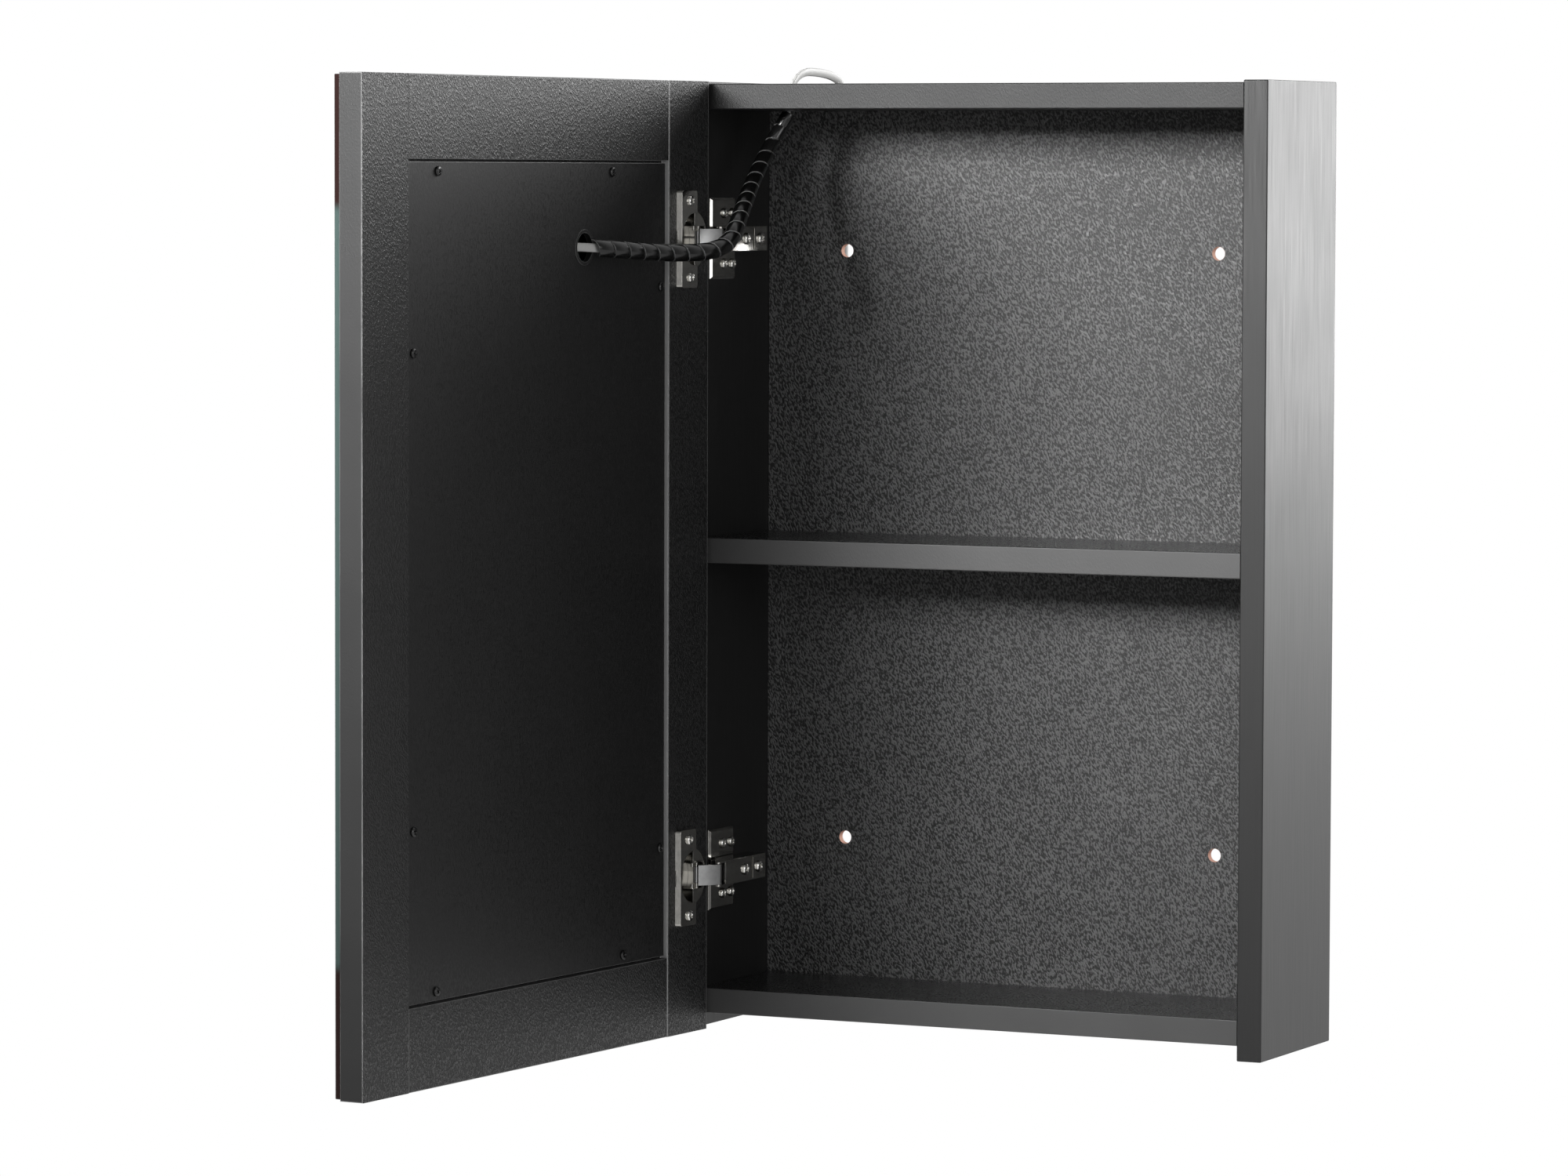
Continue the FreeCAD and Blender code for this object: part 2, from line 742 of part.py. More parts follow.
def wrap_point(rows, step, s, angle, depth):
    k = min(max(s / step, 0), len(rows) - 1.001)
    i = int(k)
    f = k - i
    p0, a0, b0 = rows[i]
    p1, a1, b1 = rows[i + 1]
    a = a0 * (1 - f) + a1 * f
    b = b0 * (1 - f) + b1 * f
    r = wrap_d / 2 + (wrap_top_d - wrap_d) / 2 * min(max(2 * k / len(rows) - 1, 0), 1) - depth
    return p0 * (1 - f) + p1 * f + (a * math.cos(angle) + b * math.sin(angle)) * r


def spiral_wrap():
    rows = frames(door_route(), 800)
    length = sum((b[0] - a[0]).Length for a, b in zip(rows, rows[1:]))
    step = length / (len(rows) - 1)
    turns = round((length - wrap_band) / wrap_pitch)
    pitch = (length - wrap_band) / turns
    rings = []
    for k in range(turns * wrap_steps + 1):
        s = wrap_band / 2 + k * pitch / wrap_steps
        angle = 2 * math.pi * k / wrap_steps
        inward = wrap_point(rows, step, s, angle, wrap_t) - wrap_point(rows, step, s, angle, 0)
        aft = wrap_point(rows, step, s - wrap_band / 2, angle, 0)
        fore = wrap_point(rows, step, s + wrap_band / 2, angle, 0)
        rings.append([aft, fore, fore + inward, aft + inward])
    pairs = list(zip(rings, rings[wrap_steps:]))
    gap = min(min((b[0] - a[1]).Length, (b[3] - a[2]).Length) for a, b in pairs)
    print("wrap turns", turns, "pitch", round(pitch, 2), "least gap", round(gap, 2))
    return Part.makeLoft([Part.makePolygon(ring + ring[:1]) for ring in rings], True, True)


# Groups of like pieces

def group(shapes):
    return Part.makeCompound(list(shapes))


sides = ("left", "right")
ends = [(side, z) for side in sides for z in levels]
heights = list(hinges.values())
to_frame = Vector(0, -1, 0)
to_side = Vector(-1, 0, 0)
mounts = [p for z in heights for p in mount_seats(z)]
arm_spots = [p for z in heights for p in arm_seats(z)]

save("side_left", side_board("left"))
save("side_right", side_board("right"))
save("top_board", top_board())
save("shelf", cross_board(levels[1]))
save("bottom_board", cross_board(levels[0]))
save("back_panel", back_board())
save("back_screws", group(back_screw(x, z, 0) for x in back_screw_xs() for z in levels))
save("carcass_dowels", group(pin for end in ends for pin in dowels(*end, 0, 0)))
save("cam_discs", group(cam_disc(*end) for end in ends))
save("cam_bolts", group(cam_bolt(*end, 0, 0) for end in ends))
save("top_gland", gland())

save("stile_hinge", swing_open(stile("hinge")))
save("stile_free", swing_open(stile("free")))
save("rail_top", swing_open(rail("top")))
save("rail_bottom", swing_open(rail("bottom")))
pegs = [door_dowel(side, z, 0) for side in ("hinge", "free") for z in door_dowel_zs()]
save("door_dowels", swing_open(group(pegs)))
save("back_plate", swing_open(back_plate()))
save("outlet_ring", swing_open(outlet_ring()))
save("mirror_glass", swing_open(mirror_glass()))
save("light_strips", swing_open(light_strips()))
save("light_driver", swing_open(driver()))
save("touch_sensor", swing_open(touch_sensor()))
plate_size = (plate_screw_d, plate_screw_l, plate_head_d, plate_head_h)
save("plate_screws", swing_open(group(screw(p, to_frame, *plate_size) for p in all_plate_seats())))

for name, height in hinges.items():
    save("hinge_cup_" + name, swing_open(hinge_cup(height)))
    save("mounting_plate_" + name, mounting_plate(height))
    save("hinge_arm_" + name, hinge_arm(height))
    save("inner_link_" + name, inner_link(height))
    save("outer_link_" + name, outer_link(height))
wood_size = (screw_d, screw_l, head_d, head_h)
arm_size = (arm_screw_d, arm_screw_l, arm_head_d, arm_head_h)
cup_spots = [p for z in heights for p in cup_seats(z, flange_t)]
save("cup_screws", swing_open(group(screw(p, to_frame, *wood_size) for p in cup_spots)))
save("cup_pins", swing_open(group(cup_pin(inner_u, z, 0) for z in heights)))
save("cup_stubs", swing_open(group(end for z in heights for end in cup_stubs(z).Solids)))
save("arm_pins", group(link_pin(p, z, 0) for p in (inner_pin, outer_pin) for z in heights))
save("mount_screws", group(screw(p, to_side, *wood_size) for p in mounts))
save("arm_screws", group(screw(p, to_side, *arm_size) for p in arm_spots))

save("door_lead", flat_lead(door_route(), Vector(0, 0, 1), "door lead"))
save("supply_lead", flat_lead(supply_route(), Vector(1, 0, 0), "supply lead"))
save("spiral_wrap", spiral_wrap())

inner_turn = link_turn(inner_u, inner_reach)
outer_turn = link_turn(outer_u, outer_reach)
print("inner arm pin", inner_pin - origin, "cup pin", open_at(inner_u, pin_v, 0) - origin)
print("outer arm pin", outer_pin - origin)
print("door on links", door_angle + inner_turn, "inner", inner_turn, "outer", outer_turn)
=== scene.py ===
import json
import math

import bmesh
import bpy
from mathutils import Matrix, Vector


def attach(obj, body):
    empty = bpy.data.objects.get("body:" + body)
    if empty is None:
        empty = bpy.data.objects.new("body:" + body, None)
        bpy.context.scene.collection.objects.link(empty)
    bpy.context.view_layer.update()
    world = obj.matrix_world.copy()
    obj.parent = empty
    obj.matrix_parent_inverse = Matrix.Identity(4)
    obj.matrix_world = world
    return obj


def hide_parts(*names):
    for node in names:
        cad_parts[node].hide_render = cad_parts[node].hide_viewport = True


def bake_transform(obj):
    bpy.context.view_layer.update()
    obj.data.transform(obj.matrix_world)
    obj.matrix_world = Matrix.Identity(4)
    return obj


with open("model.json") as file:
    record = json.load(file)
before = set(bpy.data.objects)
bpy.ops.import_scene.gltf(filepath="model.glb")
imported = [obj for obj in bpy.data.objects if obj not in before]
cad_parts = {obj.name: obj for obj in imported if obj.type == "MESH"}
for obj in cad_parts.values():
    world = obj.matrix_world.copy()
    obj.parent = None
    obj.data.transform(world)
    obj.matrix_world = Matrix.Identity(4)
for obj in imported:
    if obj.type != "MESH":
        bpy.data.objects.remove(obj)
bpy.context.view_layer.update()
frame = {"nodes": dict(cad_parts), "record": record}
nodes = frame["nodes"]
slot_of = {row["node"]: row["material_slot"] for row in frame["record"]["subparts"]}
scene = bpy.context.scene
scene.view_settings.view_transform = "Standard"
MM = 0.001


# Shader values: sums and products of them add Math nodes

class Shade:
    """A socket of a finish. Arithmetic on it adds Math nodes, and node() adds any other."""

    def __init__(self, tree, socket=None):
        self.tree = tree
        self.socket = socket

    def put(self, target, value):
        if isinstance(value, Shade):
            self.tree.links.new(value.socket, target)
        else:
            target.default_value = value

    def node(self, kind, settings=None, sockets=None, out=0):
        made = self.tree.nodes.new(kind)
        for name, value in (settings or {}).items():
            setattr(made, name, value)
        for name, value in (sockets or {}).items():
            self.put(made.inputs[name], value)
        return Shade(self.tree, made.outputs[out])

    def maths(self, operation, a, b=0.0):
        return self.node("ShaderNodeMath", {"operation": operation}, {0: a, 1: b})

    def __add__(self, other):
        return self.maths("ADD", self, other)

    def __radd__(self, other):
        return self.maths("ADD", other, self)

    def __sub__(self, other):
        return self.maths("SUBTRACT", self, other)

    def __rsub__(self, other):
        return self.maths("SUBTRACT", other, self)

    def __mul__(self, other):
        return self.maths("MULTIPLY", self, other)

    def __rmul__(self, other):
        return self.maths("MULTIPLY", other, self)

    def __pow__(self, other):
        return self.maths("POWER", self, other)

    def __abs__(self):
        return self.maths("ABSOLUTE", self)

    def least(self, other):
        return self.maths("MINIMUM", self, other)

    def most(self, other):
        return self.maths("MAXIMUM", self, other)

    def rise(self, low, high):
        """0 below low, 1 above high, smooth between."""
        sockets = {"Value": self, "From Min": low, "From Max": high}
        return self.node("ShaderNodeMapRange", {"interpolation_type": "SMOOTHSTEP"}, sockets)

    def blend(self, low, high):
        """One colour at 0 and another at 1."""
        return self.node("ShaderNodeMix", {"data_type": "RGBA"}, {0: self, 6: low, 7: high}, 2)


def finish(name, base, rough, **fixed):
    """A material, its surface, and a pen for its tree."""
    material = bpy.data.materials.new(name)
    material.use_nodes = True
    surface = material.node_tree.nodes["Principled BSDF"]
    surface.inputs["Base Color"].default_value = base
    surface.inputs["Roughness"].default_value = rough
    for socket, value in fixed.items():
        surface.inputs[socket.replace("_", " ")].default_value = value
    return material, surface, Shade(material.node_tree)


def grey(level):
    return (level, level, level, 1.0)


def places(pen, turn=(0, 0, 0), stretch=(1, 1, 1)):
    """Object coordinates, turned first and then stretched."""
    here = pen.node("ShaderNodeTexCoord", out=3)
    turn = tuple(math.radians(a) for a in turn)
    sockets = {"Vector": here, "Rotation": turn, "Scale": stretch}
    return pen.node("ShaderNodeMapping", {"vector_type": "TEXTURE"}, sockets)


def noise(pen, where, size, detail=3.0, rough=0.55):
    """Noise whose lumps are about size metres across."""
    sockets = {"Vector": where, "Scale": 1 / size, "Detail": detail, "Roughness": rough}
    return pen.node("ShaderNodeTexNoise", None, sockets)


def split(pen, where):
    outs = pen.node("ShaderNodeSeparateXYZ", None, {"Vector": where}).socket.node.outputs
    return [Shade(pen.tree, outs[k]) for k in range(3)]


def along(pen, way):
    """How far a face points along way, from -1 to 1."""
    own = pen.node("ShaderNodeTexCoord", out=1)
    return pen.node("ShaderNodeVectorMath", {"operation": "DOT_PRODUCT"}, {0: own, 1: way}, 1)


def facing(pen, way):
    """1 on faces whose own direction is way, 0 on faces across it."""
    return along(pen, way).rise(0.6, 0.8)


def square(pen, way):
    return abs(along(pen, way))


def bump(pen, height, strength, distance, round_edge=0.0):
    """Relief of the given height; round_edge softens the piece's edges by that radius."""
    sockets = {"Height": height, "Strength": strength, "Distance": distance}
    if round_edge:
        sockets["Normal"] = pen.node("ShaderNodeBevel", {"samples": 6}, {"Radius": round_edge})
    return pen.node("ShaderNodeBump", None, sockets)


# Camera of the photograph

def set_camera():
    turn = math.radians(25.438)
    dip = math.radians(3.532)
    roll = math.radians(0.176)
    look = Vector((-math.sin(turn) * math.cos(dip), math.cos(turn) * math.cos(dip), -math.sin(dip)))
    right = Vector((math.cos(turn), math.sin(turn), 0))
    up = right.cross(look)
    across = right * math.cos(roll) + up * math.sin(roll)
    upright = up * math.cos(roll) - right * math.sin(roll)
    target = Vector((-123.84, -107, -22.312)) * MM
    place = target - look * 4195.379 * MM
    data = bpy.data.cameras.new("camera")
    data.sensor_width = 36
    data.lens = 152.922
    data.clip_end = 50
    camera = bpy.data.objects.new("camera", data)
    axes = Matrix((across, upright, -look)).transposed().to_4x4()
    camera.matrix_world = Matrix.Translation(place) @ axes
    scene.collection.objects.link(camera)
    scene.camera = camera


# Light and surroundings

def add_lamp(name, place, aim, size, watts, spread=180):
    data = bpy.data.lights.new(name, "AREA")
    data.shape = "RECTANGLE"
    data.size, data.size_y = size
    data.energy = watts
    data.spread = math.radians(spread)
    lamp = bpy.data.objects.new(name, data)
    lamp.location = place
    lamp.rotation_euler = (Vector(aim) - Vector(place)).to_track_quat("-Z", "Y").to_euler()
    lamp.visible_camera = False
    scene.collection.objects.link(lamp)


def light_path(pen, name):
    outs = pen.node("ShaderNodeLightPath").socket.node.outputs
    return Shade(pen.tree, outs[name])


def seen_or_shown(pen):
    """1 where the eye, a mirror or glass looks."""
    return light_path(pen, "Is Camera Ray").most(light_path(pen, "Is Transmission Ray")).most(light_path(pen, "Is Glossy Ray"))


def set_world():
    """White backdrop behind, a dim room in front with a paler wall to its right."""
    world = bpy.data.worlds.new("studio")
    world.use_nodes = True
    scene.world = world
    pen = Shade(world.node_tree)
    seen = light_path(pen, "Is Camera Ray").most(light_path(pen, "Is Transmission Ray"))
    right, away, up = split(pen, pen.node("ShaderNodeTexCoord"))
    behind = away.rise(-0.2, 0.5)
    wall = right.rise(0.1, 0.3) * (1.0 - right.rise(0.55, 0.75)) * (1.0 - away.rise(-0.8, -0.6))
    shine = light_path(pen, "Is Glossy Ray") * (behind * 0.78 + wall * 1.1 + 0.2)
    back = world.node_tree.nodes["Background"]
    back.inputs["Color"].default_value = grey(1)
    pen.put(back.inputs["Strength"], seen.most(shine).most(0.08))


def set_floor():
    """Pale floor as far below as under a hung cabinet."""
    bm = bmesh.new()
    bmesh.ops.create_grid(bm, x_segments=1, y_segments=1, size=5)
    bmesh.ops.translate(bm, verts=bm.verts, vec=(0, 0, -1.55))
    material, surface, pen = finish("floor_paint", grey(0.82), 0.7)
    cloud = noise(pen, places(pen), 0.4)
    pen.put(surface.inputs["Base Color"], cloud.blend(grey(0.80), grey(0.84)))
    glow = pen.node("ShaderNodeEmission", None, {"Color": grey(0.86)})
    lit = Shade(pen.tree, surface.outputs[0])
    seen = pen.node("ShaderNodeMixShader", None, {0: seen_or_shown(pen) * 0.85, 1: lit, 2: glow})
    pen.put(material.node_tree.nodes["Material Output"].inputs["Surface"], seen)
    new_piece("floor", bm, material)


# Pieces

def new_piece(name, bm, material):
    mesh = bpy.data.meshes.new(name)
    bmesh.ops.recalc_face_normals(bm, faces=bm.faces)
    bm.to_mesh(mesh)
    bm.free()
    mesh.materials.append(material)
    piece = bpy.data.objects.new(name, mesh)
    scene.collection.objects.link(piece)
    return piece


def smooth(piece, angle=40):
    for face in piece.data.polygons:
        face.use_smooth = True
    piece.data.set_sharp_from_angle(angle=math.radians(angle))


def made_mesh(thing):
    bpy.context.view_layer.update()
    return bpy.data.meshes.new_from_object(thing.evaluated_get(bpy.context.evaluated_depsgraph_get()))


# Lead and wrap: a straight form bent along the route's own smooth line

DOOR_ROUTE = (
    (-198.95, -295.31, 194.20),
    (-198.04, -272.32, 193.40),
    (-178.04, -247.16, 192.20),
    (-157.98, -203.95, 188.60),
    (-135.45, -167.03, 190.00),
    (-140.50, -138.50, 210.50),
    (-149.00, -102.00, 233.50),
    (-149.50, -74.50, 257.00),
    (-139.20, -70.70, 274.80),
)
SUPPLY_ROUTE = (
    (-139.20, -70.70, 276.30),
    (-141.20, -64.40, 303.20),
    (-137.40, -10.00, 302.60),
    (-134.80, 6.30, 292.50),
    (-134.20, 5.20, 241.83),
    (-135.00, 5.80, 189.17),
    (-134.40, 5.30, 136.50),
)
LEAD_W = 5.4 * MM
LEAD_T = 2.6 * MM


def route_line(name, route):
    data = bpy.data.curves.new(name, "CURVE")
    data.dimensions = "3D"
    data.resolution_u = 24
    spline = data.splines.new("NURBS")
    spline.points.add(len(route) - 1)
    for point, place in zip(spline.points, route):
        point.co = (place[0] * MM, place[1] * MM, place[2] * MM, 1)
    spline.order_u = 3
    spline.use_endpoint_u = True
    line = bpy.data.objects.new(name, data)
    scene.collection.objects.link(line)
    return line


def line_points(line):
    mesh = made_mesh(line)
    points = [v.co.copy() for v in mesh.vertices]
    bpy.data.meshes.remove(mesh)
    return points


def run_length(points):
    return sum((b - a).length for a, b in zip(points, points[1:]))


def nearest(points, length):
    """Index of the point this far along."""
    return min(range(len(points)), key=lambda i: abs(run_length(points[: i + 1]) - length))


def bend_along(piece, line):
    """Lays a form that runs along X on the line."""
    hold = piece.modifiers.new("route", "CURVE")
    hold.object = line
    hold.deform_axis = "POS_X"
    made = made_mesh(piece)
    piece.modifiers.remove(hold)
    old = piece.data
    piece.data = made
    bpy.data.meshes.remove(old)
    smooth(piece)


def flat_lead(name, start, end, material):
    """Flat lead with round edges, along X from start to end."""
    bm = bmesh.new()
    bmesh.ops.create_circle(bm, cap_ends=True, segments=20, radius=LEAD_T / 2)
    for v in bm.verts:
        v.co.x += math.copysign((LEAD_W - LEAD_T) / 2, v.co.x) if abs(v.co.x) > 1e-6 else 0
    bmesh.ops.rotate(bm, verts=bm.verts, cent=(0, 0, 0), matrix=Matrix.Rotation(math.pi / 2, 3, "Y"))
    bmesh.ops.translate(bm, verts=bm.verts, vec=(start, 0, 0))
    grown = bmesh.ops.extrude_face_region(bm, geom=bm.faces[:], use_keep_orig=True)
    tip = [g for g in grown["geom"] if isinstance(g, bmesh.types.BMVert)]
    bmesh.ops.translate(bm, verts=tip, vec=(end - start, 0, 0))
    long = [e for e in bm.edges if abs(e.verts[0].co.x - e.verts[1].co.x) > 0.5 * (end - start)]
    bmesh.ops.subdivide_edges(bm, edges=long, cuts=int((end - start) / 0.002))
    return new_piece(name, bm, material)


WRAP_R = 5.45 * MM
WRAP_TOP_R = 4.6 * MM
WRAP_BAND = 10.45 * MM
WRAP_T = 1.0 * MM


def wrap_winding(name, start, turns, pitch, taper, material, square_end=False):
    """Band wound round X, narrower between the taper's two places; its last turn may lie square."""
    steps = 28
    bm = bmesh.new()
    end = start + WRAP_BAND
    corners = [(start, WRAP_R), (end, WRAP_R), (end, WRAP_R - WRAP_T), (start, WRAP_R - WRAP_T)]
    face = bm.faces.new([bm.verts.new((x, 0, r)) for x, r in corners])
    bmesh.ops.bevel(bm, geom=face.verts[:], offset=0.4 * MM, affect="VERTICES", segments=3, profile=0.5, material=-1)
    # marks the band's edges, where a painted highlight goes
    rim = bm.verts.layers.float.new("rim")
    for v in bm.verts:
        v[rim] = 1.0 if min(v.co.x - start, end - v.co.x) < 0.12 * MM else 0.0
    wound = bmesh.ops.spin(bm, geom=bm.verts[:] + bm.edges[:] + bm.faces[:], cent=(0, 0, 0), axis=(1, 0, 0),
                           dvec=(pitch / steps, 0, 0), angle=2 * math.pi * turns, steps=steps * turns)
    if square_end:
        bmesh.ops.spin(bm, geom=wound["geom_last"], cent=(0, 0, 0), axis=(1, 0, 0),
                       angle=2 * math.pi * (steps - 1) / steps, steps=steps - 1)
    open_edges = [e for e in bm.edges if e.is_boundary]
    if open_edges:
        bmesh.ops.holes_fill(bm, edges=open_edges, sides=0)
    for v in bm.verts:
        part = min(max((v.co.x - taper[0]) / (taper[1] - taper[0]), 0), 1)
        size = 1 + (WRAP_TOP_R / WRAP_R - 1) * part
        v.co.y *= size
        v.co.z *= size
    return new_piece(name, bm, material)


def add_cords(pvc, band):
    line = route_line("door_route", DOOR_ROUTE)
    points = line_points(line)
    whole = run_length(points)
    bend = min(range(len(points)), key=lambda i: (points[i] - Vector(DOOR_ROUTE[2]) * MM).length)
    start = run_length(points[: bend + 1]) - 11.0 * MM
    turns = 20
    top_turns = 2
    pitch = (whole + 2.2 * MM - start - WRAP_BAND) / turns
    taper = (start + 0.5 * (whole - start), whole)
    meet = nearest(points, whole - 34 * MM)
    joint = points[nearest(points, whole - 28 * MM)]
    at_top = points[nearest(points, whole - 3 * MM)]
    low_length = run_length(points[: meet + 1])
    low = flat_lead("door_lead_low", 0, low_length, pvc)
    high = flat_lead("door_lead_high", low_length, whole, pvc)
    top_start = start + (turns - top_turns) * pitch
    low_wrap = wrap_winding("wrap_low", start, turns - top_turns, pitch, taper, band)
    high_wrap = wrap_winding("wrap_high", top_start, top_turns, pitch, taper, band, True)
    for piece in (low, high, low_wrap, high_wrap):
        bend_along(piece, line)
    for piece in (low, low_wrap):
        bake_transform(piece)
    for piece in (high, high_wrap):
        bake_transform(piece)
    for piece in (low, high):
        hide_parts("door_lead")
    for piece in (low_wrap, high_wrap):
        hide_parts("spiral_wrap")
    bpy.data.objects.remove(line)

    line = route_line("supply_route", SUPPLY_ROUTE)
    points = line_points(line)
    whole = run_length(points)
    supply = flat_lead("supply_lead_white", 0, whole, pvc)
    bend_along(supply, line)
    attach(supply, "cabinet")
    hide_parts("supply_lead")
    bpy.data.objects.remove(line)


# Cross-head screws

def screw_form(head_d, head_h, shank_d, shank_l):
    """One screw on its seat at the origin, head up."""
    bm = bmesh.new()
    r = head_d / 2
    profile = [(0, -shank_l), (shank_d * 0.3, -shank_l), (shank_d / 2, -shank_l + shank_d * 0.3), (shank_d / 2, 0)]
    profile += [(r, 0), (r, head_h * 0.32)]
    for k in range(1, 6):
        part = math.radians(15 * k)
        profile.append((r * (0.62 + 0.38 * math.cos(part)), head_h * (0.32 + 0.62 * math.sin(part))))
    spots = [bm.verts.new((x, 0, z)) for x, z in profile]
    edges = [bm.edges.new(pair) for pair in zip(spots, spots[1:])]
    bmesh.ops.spin(bm, geom=spots + edges, cent=(0, 0, 0), axis=(0, 0, 1), angle=2 * math.pi, steps=24, use_merge=True)
    bmesh.ops.remove_doubles(bm, verts=bm.verts, dist=1e-6)
    top = max(v.co.z for v in bm.verts)
    rim = [e for e in bm.edges if e.is_boundary and e.verts[0].co.z > top - 1e-7]
    w, a = head_d * 0.075, head_d * 0.27
    cross = [(w, w), (w, a), (-w, a), (-w, w), (-a, w), (-a, -w), (-w, -w), (-w, -a), (w, -a), (w, -w), (a, -w), (a, w)]
    face = bm.faces.new([bm.verts.new((x, y, top + head_h * 0.04)) for x, y in cross])
    bmesh.ops.bridge_loops(bm, edges=rim + face.edges[:])
    sunk = bmesh.ops.extrude_face_region(bm, geom=[face])
    tip = [g for g in sunk["geom"] if isinstance(g, bmesh.types.BMVert)]
    bmesh.ops.translate(bm, verts=tip, vec=(0, 0, -head_h * 0.7))
    bmesh.ops.scale(bm, verts=tip, vec=(0.6, 0.6, 1))
    if face.is_valid:
        bmesh.ops.delete(bm, geom=[face], context="FACES_ONLY")
    bmesh.ops.recalc_face_normals(bm, faces=bm.faces)
    mesh = bpy.data.meshes.new("screw_form")
    bm.to_mesh(mesh)
    bm.free()
    return mesh


def add_screws(name, node, seats, way, size, material, body):
    """Screws on their seats, their heads turned each its own way."""
    form = screw_form(*(s * MM for s in size))
    lay = Vector((0, 0, -1)).rotation_difference(Vector(way)).to_matrix().to_4x4()
    bm = bmesh.new()
    for k, seat in enumerate(seats):
        before = set(bm.verts)
        bm.from_mesh(form)
        fresh = [v for v in bm.verts if v not in before]
        turn = Matrix.Rotation(math.radians(20 + 37 * k), 4, "Z")
        bmesh.ops.transform(bm, matrix=Matrix.Translation(Vector(seat) * MM) @ lay @ turn, verts=fresh)
    bpy.data.meshes.remove(form)
    piece = new_piece(name, bm, material)
    smooth(piece, 35)
    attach(piece, body)
    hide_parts(node)


def on_door(u, v, z):
    """A place on the open door: u from its hinge edge, v into it, z from its foot."""
    c, s = math.cos(math.radians(94)), math.sin(math.radians(94))
    return (c * u - s * v - 175.5, -s * u - c * v - 110.5, z - 304)


def add_fixings(bright, black_zinc):
    into_door = Vector(on_door(0, 1, 0)) - Vector(on_door(0, 0, 0))
    levels = (99, 501)
    cups = [on_door(28.5, -3.5, z + k) for z in levels for k in (-24, 24)]
    add_screws("cup_screws_cross", "cup_screws", cups, into_door, (6.6, 1.8, 3.6, 13), bright, "door")
    mounts = [(-181.5, y - 107, z + k - 304) for z in levels for y in (31, 43) for k in (-16, 16)]
    add_screws("mount_screws_cross", "mount_screws", mounts, (-1, 0, 0), (6.6, 1.8, 3.6, 13), bright, "cabinet")
    arms = [(-166, y - 107, z - 304) for z in levels for y in (32, 52)]
    add_screws("arm_screws_cross", "arm_screws", arms, (-1, 0, 0), (7.6, 2.0, 5.0, 12), bright, "cabinet")
    spots = [(116, 543), (316, 543), (102, 57), (318, 57), (57, 120), (57, 471.6), (343, 154.2), (343, 436.2)]
    plates = [on_door(u, 1.6, z) for u, z in spots]
    add_screws("plate_screws_cross", "plate_screws", plates, into_door, (6.0, 1.8, 3.0, 9), black_zinc, "door")


# Finishes

INNER = (0.99756, -0.06976, 0)      # out of the open door's inner face
ALONG = (-0.06976, -0.99756, 0)     # along the door to its free edge
FRONT = (0, -1, 0)
UP = (0, 0, 1)


def arris(pen, ways):
    """1 on the rounded edges of a board whose faces point along ways."""
    straight = square(pen, ways[0])
    for way in ways[1:]:
        straight = straight.most(square(pen, way))
    return 1.0 - straight.rise(0.93, 0.985)


def edge_highlight_mask(pen, radius):
    """1 along a piece's square edges, 0 on its faces, where a painted highlight goes."""
    rounded = pen.node("ShaderNodeBevel", {"samples": 6}, {"Radius": radius})
    own = pen.node("ShaderNodeNewGeometry", out=1)
    same = pen.node("ShaderNodeVectorMath", {"operation": "DOT_PRODUCT"}, {0: rounded, 1: own}, 1)
    return 1.0 - same.rise(0.8, 0.97)


def door_reach(pen):
    """How far along the open door a place lies from its hinge edge."""
    x, y, z = split(pen, places(pen))
    return (x + 0.1755) * ALONG[0] + (y + 0.1105) * ALONG[1]


